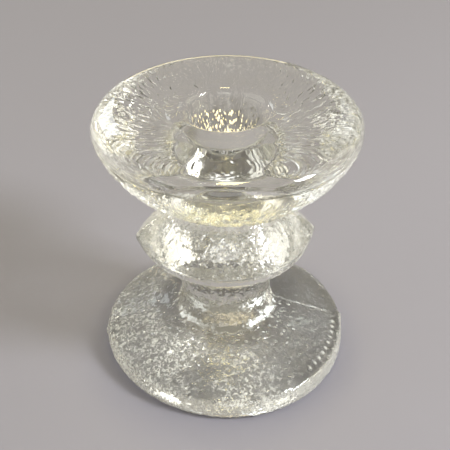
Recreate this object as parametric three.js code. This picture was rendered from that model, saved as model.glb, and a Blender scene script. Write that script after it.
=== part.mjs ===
// A low, one-ring candlestick for a taper candle, in thick clear pressed glass.
// Millimetres, +Z up, origin at the centre of the foot's underside, mould seam along X.
// The real object is one casting. Each mesh here is one named section of it, from the foot to the
// drip bowl, and neighbouring sections meet face to face on a level plane.
import * as THREE from "three";

// Overall sizes.
const height = 80;
const rimLevel = 79.9;
const footRadius = 36.7;
const footEdge = 6.2;
const stemRadius = 13.3;
const ringRadius = 23.5;
const ringEdge = 38.3;
const neckRadius = 14.2;
const bowlRadius = 37.2;

// The socket takes a standard 22 mm taper candle, and narrows a little towards its floor.
const socketMouthRadius = 11;
const socketFloorRadius = 10.4;
const socketDepth = 23.5;
const dishDepth = 0.35;

// Levels of the four planes on which the sections meet.
const footTop = 17.5;
const ringBottom = 29.3;
const ringTop = 51.5;
const bowlBottom = 54.5;

// Relief: bark-like folds all round, and a mould seam that sticks out at both ends of the X axis.
const barkDepth = 0.3;
const seamDepth = 0.25;
const ringEar = 2.4;
const seamSharpness = 7;
const earSharpness = 3.5;

// The hot glass slumped a little: the bowl is off centre and oval, the foot has two and three lobes.
const bowlDrift = 0.5;
const bowlOval = 0.4;
const footOval = 0.35;
const footTrefoil = 0.4;

// Fineness of the turned surfaces.
const turnSteps = 64;
const curveSteps = 5;

// Folds that climb the glass and wander sideways a little as they rise, between -1 and 1.
function barkFold(angle, level) {
  const broad = Math.cos(9 * angle + 0.13 * level);
  const narrow = Math.cos(16 * angle - 0.21 * level);
  return 0.6 * broad + 0.4 * narrow;
}

// 1 on the mould seam, falling off steeply to 0 a quarter turn away.
function seamLobe(angle, sharpness) {
  return (1 - Math.abs(Math.sin(angle))) ** sharpness;
}

function clearGlass() {
  return new THREE.MeshStandardMaterial({
    color: 0xe8ebe1,
    roughness: 0.06,
    metalness: 0,
    transparent: true,
    opacity: 0.35,
  });
}

// Turns an outline of (radius, level) points round +Z, then swells each point outwards by
// swell(angle, radius, level).
function turnedSection(name, outline, swell) {
  const geometry = new THREE.LatheGeometry(outline.getPoints(curveSteps), turnSteps);
  geometry.rotateX(Math.PI / 2);
  const position = geometry.getAttribute("position");
  for (let i = 0; i < position.count; i++) {
    const x = position.getX(i);
    const y = position.getY(i);
    const level = position.getZ(i);
    const radius = Math.hypot(x, y);
    if (radius > 0) {
      const grown = 1 + swell(Math.atan2(y, x), radius, level) / radius;
      position.setXYZ(i, x * grown, y * grown, level);
    }
  }
  geometry.computeVertexNormals();
  const mesh = new THREE.Mesh(geometry, clearGlass());
  mesh.name = name;
  return mesh;
}

// A disc with a rolled edge, rising gently to the middle and flaring up into the stem.
function foot() {
  const outline = new THREE.Path();
  outline.moveTo(0, 0);
  outline.lineTo(footRadius - 1.4, 0);
  outline.quadraticCurveTo(footRadius, 0, footRadius, 2.5);
  outline.quadraticCurveTo(footRadius, footEdge, footRadius - 2.4, footEdge + 0.3);
  outline.quadraticCurveTo(25.5, 9.8, 16.3, 13.4);
  outline.quadraticCurveTo(stemRadius + 0.7, 14.4, stemRadius, footTop);
  outline.lineTo(0, footTop);
  return turnedSection("foot", outline, (angle, radius, level) => {
    const onEdge = THREE.MathUtils.smoothstep(radius, stemRadius, footRadius);
    const oval = footOval * Math.cos(2 * angle - 3.7);
    const trefoil = footTrefoil * Math.cos(3 * angle - 2.2);
    const seam = seamDepth * seamLobe(angle, seamSharpness);
    return onEdge * (oval + trefoil + barkDepth * barkFold(angle, level) + seam);
  });
}

function lowerStem() {
  const outline = new THREE.Path();
  outline.moveTo(0, footTop);
  outline.lineTo(stemRadius, footTop);
  outline.quadraticCurveTo(stemRadius - 0.6, (footTop + ringBottom) / 2, stemRadius, ringBottom);
  outline.lineTo(0, ringBottom);
  return turnedSection("lower_stem", outline, () => 0);
}

// Two cones that meet in a rolled edge. The seam makes a pointed ear at each end of X.
function ring() {
  const shoulderRadius = 18.5;
  const outline = new THREE.Path();
  outline.moveTo(0, ringBottom);
  outline.lineTo(stemRadius, ringBottom);
  outline.quadraticCurveTo(stemRadius + 1, 31.8, shoulderRadius, 33.8);
  outline.quadraticCurveTo(ringRadius - 1.3, 35.4, ringRadius - 0.3, ringEdge - 1);
  outline.quadraticCurveTo(ringRadius + 0.2, ringEdge + 1, ringRadius - 0.3, ringEdge + 1.5);
  outline.lineTo(shoulderRadius, 45.9);
  outline.quadraticCurveTo(neckRadius + 0.5, 50, neckRadius, ringTop);
  outline.lineTo(0, ringTop);
  return turnedSection("ring", outline, (angle, radius) => {
    const onCones = THREE.MathUtils.smoothstep(radius, neckRadius, ringRadius);
    const onEdge = THREE.MathUtils.smoothstep(radius, shoulderRadius, ringRadius);
    const ear = ringEar * seamLobe(angle, earSharpness);
    return onCones * barkDepth * barkFold(angle, 0) + onEdge * ear;
  });
}

function neck() {
  const outline = new THREE.Path();
  outline.moveTo(0, ringTop);
  outline.lineTo(neckRadius, ringTop);
  outline.quadraticCurveTo(neckRadius - 0.2, 53.2, neckRadius + 0.4, bowlBottom);
  outline.lineTo(0, bowlBottom);
  return turnedSection("neck", outline, () => 0);
}

// A thick bowl, solid but for the candle socket in its middle. Its underside is nearly level as far
// as the belly and then climbs to a broad rounded shoulder. The top is level but for a very shallow
// dish round the socket's rounded lip.
function dripBowl() {
  const bellyRadius = 24.6;
  const dishRadius = 20.5;
  const dishLevel = rimLevel - dishDepth;
  const outline = new THREE.Path();
  outline.moveTo(0, bowlBottom);
  outline.lineTo(neckRadius + 0.4, bowlBottom);
  outline.quadraticCurveTo(neckRadius + 1.2, 56.4, 18, 57);
  outline.quadraticCurveTo(22, 57.8, bellyRadius, 58.9);
  outline.quadraticCurveTo(28.6, 62.3, 32.4, 66.3);
  outline.quadraticCurveTo(36.2, 70.9, bowlRadius, 75);
  outline.bezierCurveTo(bowlRadius - 0.4, rimLevel - 0.8, 33.8, rimLevel, 25.5, rimLevel);
  outline.quadraticCurveTo(22.5, rimLevel, dishRadius, dishLevel);
  outline.quadraticCurveTo(17.5, dishLevel, 16.3, height - 0.25);
  outline.quadraticCurveTo(15.4, height, 13.5, height);
  outline.quadraticCurveTo(socketMouthRadius, height, socketMouthRadius, height - 3.4);
  outline.lineTo(socketFloorRadius, height - socketDepth);
  outline.lineTo(0, height - socketDepth);
  return turnedSection("drip_bowl", outline, (angle, radius, level) => {
    const outside = THREE.MathUtils.smoothstep(radius, neckRadius + 0.4, bellyRadius);
    const below = 1 - THREE.MathUtils.smoothstep(level, 72, 76.4);
    const slump = bowlDrift * Math.cos(angle) - bowlOval * Math.cos(2 * angle);
    const seam = seamDepth * seamLobe(angle, seamSharpness);
    return outside * (slump + below * (barkDepth * barkFold(angle, level) + seam));
  });
}

const candlestick = new THREE.Group();
candlestick.name = "candlestick";
candlestick.add(foot(), lowerStem(), ring(), neck(), dripBowl());

export default candlestick;
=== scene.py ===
# Looks of a low, one-ring candlestick in clear pressed glass: one continuous casting with bark
# texture outside and fire-polished glass on the bowl's top, on a plain pale floor. Metres, +Z up.
import math
import random

import bpy
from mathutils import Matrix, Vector, noise


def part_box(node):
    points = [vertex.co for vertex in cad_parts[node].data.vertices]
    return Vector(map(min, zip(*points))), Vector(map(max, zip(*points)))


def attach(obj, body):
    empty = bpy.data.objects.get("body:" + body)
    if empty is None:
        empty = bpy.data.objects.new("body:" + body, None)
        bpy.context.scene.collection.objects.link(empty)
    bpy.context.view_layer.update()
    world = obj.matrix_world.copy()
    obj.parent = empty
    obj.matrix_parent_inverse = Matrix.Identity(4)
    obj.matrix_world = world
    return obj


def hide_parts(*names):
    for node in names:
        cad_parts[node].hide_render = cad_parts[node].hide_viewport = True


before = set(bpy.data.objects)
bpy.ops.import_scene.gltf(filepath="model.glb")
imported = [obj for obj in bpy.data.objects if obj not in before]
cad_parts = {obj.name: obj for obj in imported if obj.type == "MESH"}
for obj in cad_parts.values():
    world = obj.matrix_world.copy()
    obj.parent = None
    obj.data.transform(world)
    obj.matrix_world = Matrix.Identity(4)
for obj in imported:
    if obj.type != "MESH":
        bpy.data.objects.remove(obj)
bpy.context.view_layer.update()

MM = 0.001

# The CAD nodes that the casting stands for. All are sections of the one piece of glass.
NODES = ("foot", "lower_stem", "ring", "neck", "drip_bowl")

# Levels of the sections, and the radii at which they meet, from the frame.
FOOT_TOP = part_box("foot")[1].z
RING_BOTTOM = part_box("ring")[0].z
RING_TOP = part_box("ring")[1].z
BOWL_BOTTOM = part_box("drip_bowl")[0].z
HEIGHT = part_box("drip_bowl")[1].z
STEM_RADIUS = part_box("lower_stem")[1].x
NECK_FLARE = 0.4 * MM
NECK_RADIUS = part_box("neck")[1].x - NECK_FLARE

# Radii and levels that the frame's boxes don't show.
FOOT_RADIUS = 36.7 * MM
FOOT_EDGE = 6.2 * MM
RING_SHOULDER_RADIUS = 18.5 * MM
RING_RADIUS = 23.5 * MM
RING_EDGE = 38.3 * MM
BOWL_RADIUS = 37.2 * MM
RIM_LEVEL = HEIGHT - 0.1 * MM
DISH_DEPTH = 0.35 * MM
LIP_RADIUS = 13.5 * MM
SOCKET_MOUTH_RADIUS = 11.0 * MM
SOCKET_FLOOR_RADIUS = 10.4 * MM
SOCKET_DEPTH = 23.5 * MM

# How far the outline is out of round: the mould seam, its ears, and the slump of the hot glass.
SEAM = 0.25 * MM
SEAM_SHARPNESS = 7
SEAM_LINE = 0.30 * MM
RING_EAR = 2.4 * MM
EAR_SHARPNESS = 3.5
EAR_BLUNTNESS = 0.06
FOOT_OVAL = 0.35 * MM
FOOT_TREFOIL = 0.4 * MM
BOWL_OVAL = 0.4 * MM
BOWL_DRIFT = 0.5 * MM
BOWL_SLUMP_RADIUS = 23.4 * MM

# Depths of the bark texture. The knee is the strongly folded part, low on the bowl's outside. It
# fades in and out between two pairs of levels.
FOOT_LUMPS = 0.16 * MM
STEM_WRINKLES = 0.13 * MM
RING_FOLDS = 0.045 * MM
RING_WRINKLES = 0.156 * MM
BOWL_FOLDS = 0.036 * MM
KNEE_FOLDS = 0.30 * MM
BOWL_FLUTES = 0.08 * MM
KNEE_FADE_IN = (58.8 * MM, 60.0 * MM)
KNEE_FADE_OUT = (62.0 * MM, 67.0 * MM)

# How fine the texture is. Round the glass it is per radian, along the outline and in space per metre.
FOLDS_AROUND = 8.0
FOLDS_ALONG = 70
FLUTES_AROUND = 34
FLUTES_ALONG = 60
LUMPS_SCALE = 420
WRINKLES_SCALE = 820

# The ring's ears and edge are smoother than its cones, by this share. The edge starts between the
# two radii.
RING_CALM = 0.8
RING_EDGE_RADII = (20.5 * MM, 22.0 * MM)

# The texture fades out between these levels, where the glass is fire-polished.
POLISH_START = RIM_LEVEL - 13.0 * MM
POLISH_END = RIM_LEVEL - 5.0 * MM

# The short ridges scattered under the bowl: how many, and their least and largest sizes. They lean
# either way, and a crowding above 1 sets more of them low on the bowl.
RIDGE_COUNT = 4200
RIDGE_HEIGHT = (0.08 * MM, 0.40 * MM)
RIDGE_HALF_ANGLE = (0.009, 0.016)
RIDGE_HALF_LENGTH = (0.5 * MM, 1.3 * MM)
RIDGE_LEAN = 0.35
RIDGE_CROWDING = 1.2

# The row of small beads on the right part of the foot's brow, spaced as 84 to a full round.
BEADS = 84
BEAD_HEIGHT = 0.45 * MM
# Painted highlight: the beads' glass is made whitish, so they show as bright dots.
BEAD_HIGHLIGHT_PAINT = 0.85
BEAD_ROW_RADIUS = FOOT_RADIUS - 3.1 * MM
BEAD_HALF_WIDTH = 1.0 * MM
BEAD_ROW_ANGLE = -0.47

# For each section's skin: how strongly it shows fine grain, and how worn or frosted it is. On the
# foot, the frosting is also a painted sheen that lightens it.
SKIN = {
    "underside": (0.5, 0.0),
    "foot": (1.0, 1.0),
    "stem": (0.6, 0.08),
    "ring": (0.8, 0.60),
    "neck": (0.5, 0.1),
    "bowl": (0.25, 0.12),
    "top": (0.0, 0.0),
    "socket": (0.0, 0.0),
}

# The foot's top is frosted outside these radii, and this frosting is also a painted sheen. It is
# clearer by a share on its right, which is painted shade on that side.
FOOT_FROST_AND_SHEEN_RADII = (17.0 * MM, 24.0 * MM)
# Painted shade: the share by which the foot is clearer, so darker, on its right.
FOOT_RIGHT_SHADE = 0.75

# Painted highlights: an even, soft whiteness on the ring's ears and on the foot's outer edge, and the
# radii between which each of them starts.
EAR_HIGHLIGHT_PAINT = 0.15
EAR_HIGHLIGHT_RADII = (15.0 * MM, 19.0 * MM)
EDGE_HIGHLIGHT_PAINT = 0.24
EDGE_HIGHLIGHT_RADII = (FOOT_RADIUS - 1.5 * MM, FOOT_RADIUS - 0.5 * MM)

# The floor lies a hair below the foot, so that light gets under the glass as it does in life.
FLOOR_GAP = 0.4 * MM

# Fineness of the mesh: points round a ring on the bowl's outside and elsewhere, and steps up it.
BOWL_STEPS = 640
TURN_STEPS = 320
CURVE_STEPS = 32
FINE = 0.60 * MM
COARSE = 1.4 * MM


# ---- the outline -------------------------------------------------------------------------------

def bend(start, *rest):
    """A quadratic or cubic curve of (radius, level) points, from its control points."""
    points = []
    for i in range(CURVE_STEPS + 1):
        t = i / CURVE_STEPS
        control = [start, *rest]
        while len(control) > 1:
            pairs = zip(control, control[1:])
            control = [tuple(p + (q - p) * t for p, q in zip(a, b)) for a, b in pairs]
        points.append(control[0])
    return points


def chain(*stretches):
    """Joins stretches of points end to end, without the doubled ends."""
    points = list(stretches[0])
    for stretch in stretches[1:]:
        points += stretch[1:]
    return points


def spaced(points, step):
    """The same outline with points about a step apart."""
    lengths = [0.0]
    for a, b in zip(points, points[1:]):
        lengths.append(lengths[-1] + math.dist(a, b))
    count = max(1, round(lengths[-1] / step))
    out = []
    j = 0
    for i in range(count + 1):
        at = lengths[-1] * i / count
        while j < len(points) - 2 and lengths[j + 1] < at:
            j += 1
        span = lengths[j + 1] - lengths[j]
        t = (at - lengths[j]) / span if span else 0.0
        out.append(tuple(p + (q - p) * t for p, q in zip(points[j], points[j + 1])))
    return out


def foot_outline():
    """The underside, the rolled edge, and the top, which rises gently and flares into the stem."""
    flat = (FOOT_RADIUS - 1.4 * MM, 0.0)
    side = (FOOT_RADIUS, 2.5 * MM)
    brow = (FOOT_RADIUS - 2.4 * MM, FOOT_EDGE + 0.3 * MM)
    corner = (16.3 * MM, 13.4 * MM)
    stem = (STEM_RADIUS, FOOT_TOP)
    underside = [(0.0, 0.0), flat]
    edge = chain(
        bend(flat, (FOOT_RADIUS, 0.0), side),
        bend(side, (FOOT_RADIUS, FOOT_EDGE), brow),
    )
    top = chain(
        bend(brow, (25.5 * MM, 9.8 * MM), corner),
        bend(corner, (STEM_RADIUS + 0.7 * MM, 14.4 * MM), stem),
    )
    return underside, edge, top


def stem_outline():
    middle = (STEM_RADIUS - 0.6 * MM, (FOOT_TOP + RING_BOTTOM) / 2)
    return bend((STEM_RADIUS, FOOT_TOP), middle, (STEM_RADIUS, RING_BOTTOM))


def ring_outline():
    """The lower cone, the rolled edge and the upper cone."""
    start = (STEM_RADIUS, RING_BOTTOM)
    shoulder = (RING_SHOULDER_RADIUS, 33.8 * MM)
    low = (RING_RADIUS - 0.3 * MM, RING_EDGE - 1.0 * MM)
    high = (RING_RADIUS - 0.3 * MM, RING_EDGE + 1.5 * MM)
    waist = (RING_SHOULDER_RADIUS, 45.9 * MM)
    end = (NECK_RADIUS, RING_TOP)
    below = chain(
        bend(start, (STEM_RADIUS + 1.0 * MM, 31.8 * MM), shoulder),
        bend(shoulder, (RING_RADIUS - 1.3 * MM, 35.4 * MM), low),
    )
    edge = bend(low, (RING_RADIUS + 0.2 * MM, RING_EDGE + 1.0 * MM), high)
    above = chain([high, waist], bend(waist, (NECK_RADIUS + 0.5 * MM, 50.0 * MM), end))
    return below, edge, above


def neck_outline():
    middle = (NECK_RADIUS - 0.2 * MM, 53.2 * MM)
    return bend((NECK_RADIUS, RING_TOP), middle, (NECK_RADIUS + NECK_FLARE, BOWL_BOTTOM))


def bowl_outline():
    """The outside, the shoulder, the top as far as the socket, and the socket's wall and floor."""
    start = (NECK_RADIUS + NECK_FLARE, BOWL_BOTTOM)
    hollow = (18.0 * MM, 57.0 * MM)
    belly = (24.6 * MM, 58.9 * MM)
    flank = (32.4 * MM, 66.3 * MM)
    edge = (BOWL_RADIUS, 75.0 * MM)
    outside = chain(
        bend(start, (NECK_RADIUS + 1.2 * MM, 56.4 * MM), hollow),
        bend(hollow, (22.0 * MM, 57.8 * MM), belly),
        bend(belly, (28.6 * MM, 62.3 * MM), flank),
        bend(flank, (36.2 * MM, 70.9 * MM), edge),
    )
    crest = (25.5 * MM, RIM_LEVEL)
    over_edge = (BOWL_RADIUS - 0.4 * MM, RIM_LEVEL - 0.8 * MM)
    shoulder = bend(edge, over_edge, (33.8 * MM, RIM_LEVEL), crest)
    dish_level = RIM_LEVEL - DISH_DEPTH
    dish = (20.5 * MM, dish_level)
    rise = (16.3 * MM, HEIGHT - 0.25 * MM)
    lip = (LIP_RADIUS, HEIGHT)
    throat = (SOCKET_MOUTH_RADIUS, HEIGHT - 3.4 * MM)
    top = chain(
        bend(crest, (22.5 * MM, RIM_LEVEL), dish),
        bend(dish, (17.5 * MM, dish_level), rise),
        bend(rise, (15.4 * MM, HEIGHT), lip),
        bend(lip, (SOCKET_MOUTH_RADIUS, HEIGHT), throat),
    )
    corner = (SOCKET_FLOOR_RADIUS, HEIGHT - SOCKET_DEPTH)
    return outside, shoulder, top, [throat, corner], [corner, (0.0, HEIGHT - SOCKET_DEPTH)]


# ---- the relief --------------------------------------------------------------------------------

def smooth(value, low, high):
    """0 below low, 1 above high, and a smooth step between them."""
    t = min(max((value - low) / (high - low), 0.0), 1.0)
    return t * t * (3 - 2 * t)


def seam_lobe(angle, sharpness=SEAM_SHARPNESS, bluntness=0.0):
    """1 on the mould seam at both ends of X, and steeply less beside it."""
    return (1 + bluntness - math.hypot(math.sin(angle), bluntness)) ** sharpness


def folds(angle, along, seed):
    """Long folds that run with the outline and wander sideways, about -1 to 1."""
    around = Vector((math.cos(angle), math.sin(angle), 0)) * FOLDS_AROUND
    drift = Vector((0, 0, along * FOLDS_ALONG + seed))
    broad = noise.noise(around + drift)
    narrow = noise.noise(around * 2.1 + drift * 1.7)
    return 1.1 * broad + 0.7 * narrow


def flutes(angle, along):
    """Narrow folds that run with the outline, about -1 to 1."""
    across = math.cos(angle) * FLUTES_AROUND
    deep = math.sin(angle) * FLUTES_AROUND
    return noise.noise(Vector((across, deep, along * FLUTES_ALONG)))


def lumps(point, seed):
    """Small round lumps and hollows, about -1 to 1."""
    at = Vector(point) * LUMPS_SCALE + Vector((seed, seed, seed))
    return noise.noise(at) + 0.7 * noise.noise(at * 2.1)


def wrinkles(point, seed):
    """Fine crinkles, about -1 to 1."""
    at = Vector(point) * WRINKLES_SCALE + Vector((seed, seed, seed))
    return noise.noise(at) + 0.5 * noise.noise(at * 1.9)


def unevenness(section, angle, radius):
    """How far the outline itself is out of round: the seam, its ears, and the slump of hot glass."""
    if section == "foot":
        share = smooth(radius, STEM_RADIUS, FOOT_RADIUS)
        oval = FOOT_OVAL * math.cos(2 * angle - 3.7)
        trefoil = FOOT_TREFOIL * math.cos(3 * angle - 2.2)
        return share * (oval + trefoil + SEAM * seam_lobe(angle))
    if section == "ring":
        share = smooth(radius, RING_SHOULDER_RADIUS, RING_RADIUS)
        return share * RING_EAR * seam_lobe(angle, EAR_SHARPNESS, EAR_BLUNTNESS)
    if section in ("bowl", "top"):
        share = smooth(radius, LIP_RADIUS, BOWL_SLUMP_RADIUS)
        slump = BOWL_DRIFT * math.cos(angle) - BOWL_OVAL * math.cos(2 * angle)
        return share * (slump + SEAM * seam_lobe(angle))
    return 0.0


def beads(angle, radius):
    """Height from 0 to 1 of the beads on the foot's brow, on the side of +X."""
    across = max(0.0, 1 - abs(radius - BEAD_ROW_RADIUS) / BEAD_HALF_WIDTH)
    in_row = smooth(math.cos(angle - BEAD_ROW_ANGLE), 0.90, 0.95)
    return across * max(0.0, math.cos(BEADS * angle)) * in_row


def relief(section, angle, radius, point, along):
    """How far the bark texture stands out of the outline, along its normal."""
    if section == "foot":
        return FOOT_LUMPS * lumps(point, 3.0) + BEAD_HEIGHT * beads(angle, radius)
    if section == "stem":
        return STEM_WRINKLES * wrinkles(point, 5.0)
    if section in ("ring", "neck"):
        off_ears = 1 - RING_CALM * smooth(abs(math.cos(angle)), 0.80, 0.95)
        off_edge = 1 - RING_CALM * smooth(radius, *RING_EDGE_RADII)
        texture = RING_FOLDS * folds(angle, along, 4.0) + RING_WRINKLES * wrinkles(point, 7.0)
        return off_ears * off_edge * texture
    if section == "bowl":
        knee = smooth(point[2], *KNEE_FADE_IN) * (1 - smooth(point[2], *KNEE_FADE_OUT))
        depth = BOWL_FOLDS + KNEE_FOLDS * knee
        return depth * folds(angle, along, 1.0) + BOWL_FLUTES * flutes(angle, along)
    return 0.0


def ridges(rows):
    """The heights of the ridges scattered under the bowl, by (row, step)."""
    heights = {}
    bowl_rows = [j for j, row in enumerate(rows) if row[2] == "bowl" and row[4] > 0]
    first = rows[bowl_rows[0]][3]
    last = rows[bowl_rows[-1]][3]
    step = 2 * math.pi / BOWL_STEPS
    draw = random.Random(8)
    for _ in range(RIDGE_COUNT):
        angle = draw.uniform(0, 2 * math.pi)
        along = first + (last - first) * draw.random() ** RIDGE_CROWDING
        height = draw.uniform(*RIDGE_HEIGHT)
        half_angle = draw.uniform(*RIDGE_HALF_ANGLE)
        half_length = draw.uniform(*RIDGE_HALF_LENGTH)
        lean = draw.uniform(-RIDGE_LEAN, RIDGE_LEAN)
        reach = math.ceil(half_angle / step)
        for j in bowl_rows:
            radius = rows[j][0]
            rise = rows[j][3] - along
            if abs(rise) > half_length:
                continue
            middle = angle + lean * rise / radius
            centre = round(middle / step)
            for i in range(centre - reach, centre + reach + 1):
                aside = (step * i - middle) / half_angle
                if abs(aside) < 1:
                    bump = (1 - aside ** 2) * (1 - (rise / half_length) ** 2)
                    key = (j, i % BOWL_STEPS)
                    heights[key] = max(heights.get(key, 0.0), height * bump)
    return heights


# ---- the casting -------------------------------------------------------------------------------

def outline_points():
    """The whole outline from the middle of the underside to the middle of the socket's floor.
    Each point is (radius, level, section, along, bark), bark being 1 on textured glass and 0 on
    fire-polished glass."""
    underside, foot_edge, foot_top = foot_outline()
    ring_below, ring_edge, ring_above = ring_outline()
    outside, shoulder, top, socket, floor = bowl_outline()
    stretches = [
        (underside, COARSE * 2.5, "underside", 1),
        (foot_edge, FINE, "foot", 1),
        (foot_top, FINE, "foot", 1),
        (stem_outline(), FINE, "stem", 1),
        (ring_below, FINE, "ring", 1),
        (ring_edge, FINE * 0.4, "ring", 1),
        (ring_above, FINE, "ring", 1),
        (neck_outline(), FINE, "neck", 1),
        (outside, FINE, "bowl", 1),
        (shoulder, COARSE * 0.6, "top", 0),
        (top, COARSE * 0.6, "top", 0),
        (socket, COARSE * 2, "socket", 0),
        (floor, COARSE * 2, "socket", 0),
    ]
    points = []
    along = 0.0
    for stretch, step, section, textured in stretches:
        row = spaced(stretch, step)
        if points:
            row = row[1:]
        for radius, level in row:
            if points:
                along += math.dist((radius, level), points[-1][:2])
            fade = 1 - smooth(level, POLISH_START, POLISH_END)
            points.append((radius, level, section, along, textured * fade))
    return points


def outward(rows, j):
    """The outline's normal at row j, as its shares away from the axis and upwards."""
    run = rows[j + 1][0] - rows[j - 1][0]
    rise = rows[j + 1][1] - rows[j - 1][1]
    size = math.hypot(run, rise)
    return rise / size, -run / size


def frosting_and_sheen(section, angle, radius):
    """How worn or frosted the skin is; on the foot the frosting is also a painted sheen. The foot is
    clearer near the stem, and clearer on its right as painted shade.
    """
    frost_and_sheen = SKIN[section][1]
    if section == "foot":
        # On the foot the frosting is also a painted sheen.
        outer = smooth(radius, *FOOT_FROST_AND_SHEEN_RADII)
        # Painted shade: clearer, so darker, on the foot's right.
        shade_on_right = FOOT_RIGHT_SHADE * smooth(math.cos(angle + 0.1), 0.1, 0.8)
        return frost_and_sheen * outer * (1 - shade_on_right)
    return frost_and_sheen


def painted_highlight(section, angle, radius, level):
    """Painted highlights, as an even whiteness of the skin: on the foot's outer edge and beads, and
    on the ring's two ears, more on the left ear.
    """
    if section == "foot":
        # Painted highlight on the foot's outer edge, and on the beads.
        edge = EDGE_HIGHLIGHT_PAINT * smooth(radius, *EDGE_HIGHLIGHT_RADII)
        on_top = level > FOOT_EDGE / 2
        return max(edge, BEAD_HIGHLIGHT_PAINT * beads(angle, radius) if on_top else 0.0)
    if section == "ring":
        # Painted highlight on the ring's ears, stronger on the left ear.
        more_on_left = 0.8 - 0.2 * math.cos(angle)
        ears = smooth(abs(math.cos(angle)), 0.50, 0.88) * smooth(radius, *EAR_HIGHLIGHT_RADII)
        return EAR_HIGHLIGHT_PAINT * more_on_left * ears
    return 0.0


def skin_ring(rows, j, raised):
    """The ring of vertices at row j, and the (grain, frosting and painted sheen, painted highlight)
    of each of them.
    """
    radius, level, section, along, bark = rows[j]
    out, up = outward(rows, j)
    count = BOWL_STEPS if section == "bowl" else TURN_STEPS
    vertices = []
    looks = []
    for i in range(count):
        angle = 2 * math.pi * i / count
        point = (radius * math.cos(angle), radius * math.sin(angle), level)
        seam = SEAM_LINE if 2 * i % count == 0 else 0.0
        texture = relief(section, angle, radius, point, along)
        stand = bark * (texture + raised.get((j, i), 0.0) + seam)
        wide = radius + out * stand + unevenness(section, angle, radius)
        high = max(level + up * stand, 0.0)
        vertices.append((wide * math.cos(angle), wide * math.sin(angle), high))
        grain = bark * SKIN[section][0]
        frost_and_sheen = bark * frosting_and_sheen(section, angle, radius)
        looks.append((grain, frost_and_sheen, painted_highlight(section, angle, radius, level)))
    return vertices, looks


def band(low, low_count, high, high_count):
    """The faces between two neighbouring rings of vertices, given their first vertices and their
    counts. The counts are the same, or one is twice the other."""
    faces = []
    if low_count == high_count:
        for i in range(low_count):
            k = (i + 1) % low_count
            faces.append((low + i, low + k, high + k, high + i))
    elif low_count > high_count:
        for i in range(high_count):
            k = (i + 1) % high_count
            a = 2 * i
            b = a + 1
            c = (a + 2) % low_count
            faces.append((low + a, low + b, high + i))
            faces.append((low + b, high + k, high + i))
            faces.append((low + b, low + c, high + k))
    else:
        for i in range(low_count):
            k = (i + 1) % low_count
            a = 2 * i
            b = a + 1
            c = (a + 2) % high_count
            faces.append((low + i, high + b, high + a))
            faces.append((low + i, low + k, high + b))
            faces.append((low + k, high + c, high + b))
    return faces


def skin_faces(rings, last):
    """All faces, given each ring's (first vertex, count) and the vertex in the socket's middle."""
    first, count = rings[0]
    faces = [(0, first + (i + 1) % count, first + i) for i in range(count)]
    for below, above in zip(rings, rings[1:]):
        faces += band(*below, *above)
    first, count = rings[-1]
    faces += [(first + i, first + (i + 1) % count, last) for i in range(count)]
    return faces


def make_casting():
    """One closed glass mesh. Its attributes tell the material what each part of the skin is like, and
    where sheen and highlights are painted.
    """
    rows = outline_points()
    raised = ridges(rows)
    vertices = [(0.0, 0.0, rows[0][1])]
    looks = [(0.0, 0.0, 0.0)]
    rings = []
    for j in range(1, len(rows) - 1):
        ring_vertices, ring_looks = skin_ring(rows, j, raised)
        rings.append((len(vertices), len(ring_vertices)))
        vertices += ring_vertices
        looks += ring_looks
    vertices.append((0.0, 0.0, rows[-1][1]))
    looks.append((0.0, 0.0, 0.0))
    mesh = bpy.data.meshes.new("glass_casting")
    mesh.from_pydata(vertices, [], skin_faces(rings, len(vertices) - 1))
    mesh.shade_smooth()
    for name, values in zip(("grain", "frost_and_sheen", "highlight_paint"), zip(*looks)):
        mesh.attributes.new(name, "FLOAT", "POINT").data.foreach_set("value", values)
    casting = bpy.data.objects.new("glass_casting", mesh)
    bpy.context.collection.objects.link(casting)
    return casting


# ---- materials ---------------------------------------------------------------------------------

def node(material, kind, **values):
    """A new node, with its input sockets' values given by name."""
    made = material.node_tree.nodes.new("ShaderNode" + kind)
    for name, value in values.items():
        made.inputs[name.replace("_", " ")].default_value = value
    return made


def join(material, source, output, target, socket):
    material.node_tree.links.new(source.outputs[output], target.inputs[socket])


def painted(material, name):
    """The mesh attribute of that name."""
    made = node(material, "Attribute")
    made.attribute_name = name
    return made


def pattern(material, place, kind, **values):
    """A noise or cell texture in the object's own coordinates."""
    made = node(material, kind, **values)
    join(material, place, "Object", made, "Vector")
    return made


def ramp(material, source, output, low, high, start=0.0, end=1.0):
    """A smooth step from start at low to end at high."""
    made = node(material, "MapRange", From_Min=low, From_Max=high, To_Min=start, To_Max=end)
    made.interpolation_type = "SMOOTHSTEP"
    join(material, source, output, made, "Value")
    return made


def combine(material, kind, *sources):
    """Two outputs brought together by arithmetic; each source is (node, output) or a number."""
    made = material.node_tree.nodes.new("ShaderNodeMath")
    made.operation = kind
    for i, source in enumerate(sources):
        if isinstance(source, tuple):
            material.node_tree.links.new(source[0].outputs[source[1]], made.inputs[i])
        else:
            made.inputs[i].default_value = source
    return made


def bump(material, strength, source, output):
    """A shallow bump of the skin, as strong as the attribute says."""
    made = node(material, "Bump", Distance=0.15 * MM)
    join(material, strength, "Fac", made, "Strength")
    join(material, source, output, made, "Height")
    return made


def grained(material, place):
    """The skin's fine grain, as a bump: round dimples, and a crinkle over them."""
    grain = painted(material, "grain")
    crinkle = pattern(material, place, "TexNoise", Scale=600.0, Detail=2.0, Roughness=0.5)
    cells = pattern(material, place, "TexVoronoi", Scale=420.0, Randomness=1.0)
    dimple = ramp(material, cells, "Distance", 0.0, 0.45)
    dimple_bump = bump(material, grain, dimple, "Result")
    crinkle_bump = bump(material, grain, crinkle, "Fac")
    join(material, dimple_bump, "Normal", crinkle_bump, "Normal")
    return crinkle_bump


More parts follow.
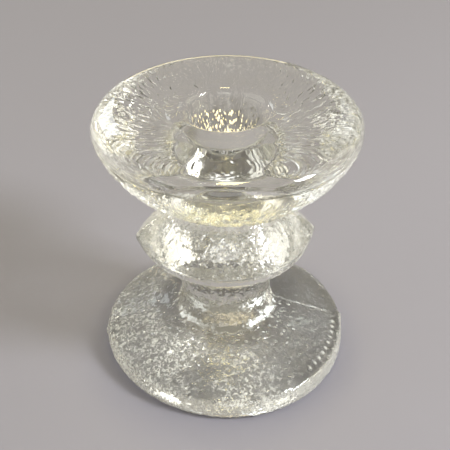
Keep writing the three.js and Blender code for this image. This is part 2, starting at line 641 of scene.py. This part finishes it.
def clearness(material, place):
    """How clear the skin is: 1 is clear. Cloudy patches of fine streaks and small whitish specks
    where the glass is frosted, which on the foot is also a painted sheen, and the painted highlights
    on the beads, the ring's ears and the foot's edge."""
    patch = pattern(material, place, "TexNoise", Scale=70.0, Detail=2.0)
    streak = pattern(
        material, place, "TexNoise", Scale=950.0, Detail=4.0, Roughness=0.7, Distortion=1.0)
    patchy = ramp(material, patch, "Fac", 0.27, 0.60, 0.30, 1.0)
    streaky = ramp(material, streak, "Fac", 0.42, 0.67, 0.12, 0.72)
    cloudy = combine(material, "MULTIPLY", (patchy, "Result"), (streaky, "Result"))
    cells = pattern(material, place, "TexVoronoi", Scale=360.0, Randomness=1.0)
    dot = ramp(material, cells, "Distance", 0.07, 0.14, 1.0, 0.0)
    chosen = node(material, "SeparateColor")
    join(material, cells, "Color", chosen, "Color")
    few = ramp(material, chosen, "Red", 0.70, 0.72)
    speck = combine(material, "MULTIPLY", (dot, "Result"), (few, "Result"))
    most = combine(material, "MAXIMUM", (cloudy, "Value"), (speck, "Value"))
    # Frosting; on the foot it is also a painted sheen.
    frost_and_sheen = painted(material, "frost_and_sheen")
    skin = combine(material, "MULTIPLY", (most, "Value"), (frost_and_sheen, "Fac"))
    # Painted highlights of the beads, the ring's ears and the foot's edge.
    highlight_paint = painted(material, "highlight_paint")
    total = combine(material, "MAXIMUM", (skin, "Value"), (highlight_paint, "Fac"))
    return combine(material, "SUBTRACT", 1.0, (total, "Value"))


def clear_glass():
    """Clear glass with a faint warm tint. The mesh attributes bring in the grain of its skin, the
    frosting where it is worn, which on the foot is also a painted sheen, and the painted highlights
    on the beads, the ring's ears and the foot's edge."""
    material = bpy.data.materials.new("clear_glass")
    material.use_nodes = True
    shader = material.node_tree.nodes["Principled BSDF"]
    shader.inputs["Base Color"].default_value = (0.96, 0.955, 0.89, 1)
    shader.inputs["Roughness"].default_value = 0.015
    shader.inputs["IOR"].default_value = 1.52
    shader.inputs["Transmission Weight"].default_value = 1.0
    place = node(material, "TexCoord")
    join(material, grained(material, place), "Normal", shader, "Normal")
    join(material, clearness(material, place), "Value", shader, "Transmission Weight")
    return material


def floor_material():
    material = bpy.data.materials.new("pale_floor")
    material.use_nodes = True
    shader = material.node_tree.nodes["Principled BSDF"]
    shader.inputs["Base Color"].default_value = (0.272, 0.263, 0.304, 1)
    shader.inputs["Roughness"].default_value = 0.9
    return material


# ---- the stage ---------------------------------------------------------------------------------

def make_floor():
    bpy.ops.mesh.primitive_plane_add(size=6.0, location=(0, 0, -FLOOR_GAP))
    floor = bpy.context.object
    floor.name = "floor"
    floor.data.materials.append(floor_material())


def soft_box(name, place, aim_level, width, height, power, colour):
    """An area light that faces the object's axis at a level, and that the camera doesn't see."""
    data = bpy.data.lights.new(name, "AREA")
    data.shape = "RECTANGLE"
    data.size = width
    data.size_y = height
    data.energy = power
    data.color = colour
    light = bpy.data.objects.new(name, data)
    light.location = place
    aim = Vector((0, 0, aim_level)) - Vector(place)
    light.rotation_euler = aim.to_track_quat("-Z", "Y").to_euler()
    light.visible_camera = False
    bpy.context.collection.objects.link(light)


def make_world():
    world = bpy.context.scene.world or bpy.data.worlds.new("World")
    bpy.context.scene.world = world
    world.use_nodes = True
    background = world.node_tree.nodes["Background"]
    background.inputs["Color"].default_value = (1.0, 0.94, 0.80, 1)
    background.inputs["Strength"].default_value = 0.29


def make_lights():
    """The windows and the fill light the whole glass, and the key throws the shadow to the left. The
    ceiling lamp and the glow behind the object give yellow glints, the small lamp adds sparkle, and
    the hazes put a cool sheen on the foot."""
    soft_box("left_window", (-0.9, 0.0, 0.45), 0.05, 1.3, 0.95, 4.5, (1.0, 1.0, 0.96))
    soft_box("right_window", (0.9, -0.1, 0.45), 0.05, 1.3, 0.95, 4.8, (1.0, 0.96, 0.82))
    soft_box("front_fill", (0, -1.2, 0.5), 0.05, 0.8, 0.5, 3.0, (0.97, 0.98, 1.0))
    soft_box("back_glow", (0.0, 1.2, 0.13), 0.05, 0.50, 0.18, 0.50, (1.0, 0.86, 0.56))
    soft_box("key", (0.64, -0.30, 0.56), 0.04, 0.22, 0.22, 7.0, (0.95, 0.97, 1.0))
    soft_box("ceiling_lamp", (0.02, 0.05, 1.2), 0, 0.20, 0.30, 4.6, (1.0, 0.88, 0.44))
    soft_box("left_haze", (-0.38, 0.98, 0.60), 0.02, 0.36, 0.30, 1.1, (0.90, 0.96, 1.0))
    soft_box("left_lamp", (-0.55, 0.70, 0.25), 0.05, 0.10, 0.10, 0.45, (1.0, 0.98, 0.9))
    soft_box("right_haze", (0.48, 0.95, 0.60), 0.02, 0.30, 0.30, 0.25, (0.92, 0.97, 1.0))


def make_camera():
    turn = math.radians(4.0)
    pitch = math.radians(35.63)
    away = 224.6 * MM
    up = 202.5 * MM
    data = bpy.data.cameras.new("camera")
    data.lens = 76.0
    data.sensor_width = 36.0
    data.clip_start = 0.01
    data.shift_x = -0.0016
    camera = bpy.data.objects.new("camera", data)
    camera.location = (-away * math.sin(turn), -away * math.cos(turn), up)
    ahead = math.cos(pitch)
    looking = Vector((math.sin(turn) * ahead, math.cos(turn) * ahead, -math.sin(pitch)))
    camera.rotation_euler = looking.to_track_quat("-Z", "Y").to_euler()
    bpy.context.collection.objects.link(camera)
    bpy.context.scene.camera = camera


make_camera()
make_floor()
make_world()
make_lights()
casting = make_casting()
casting.data.materials.append(clear_glass())
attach(casting, "root")
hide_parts(*NODES)

# Plain colours, as in the photo, without a film look.
view = bpy.context.scene.view_settings
view.view_transform = "Standard"
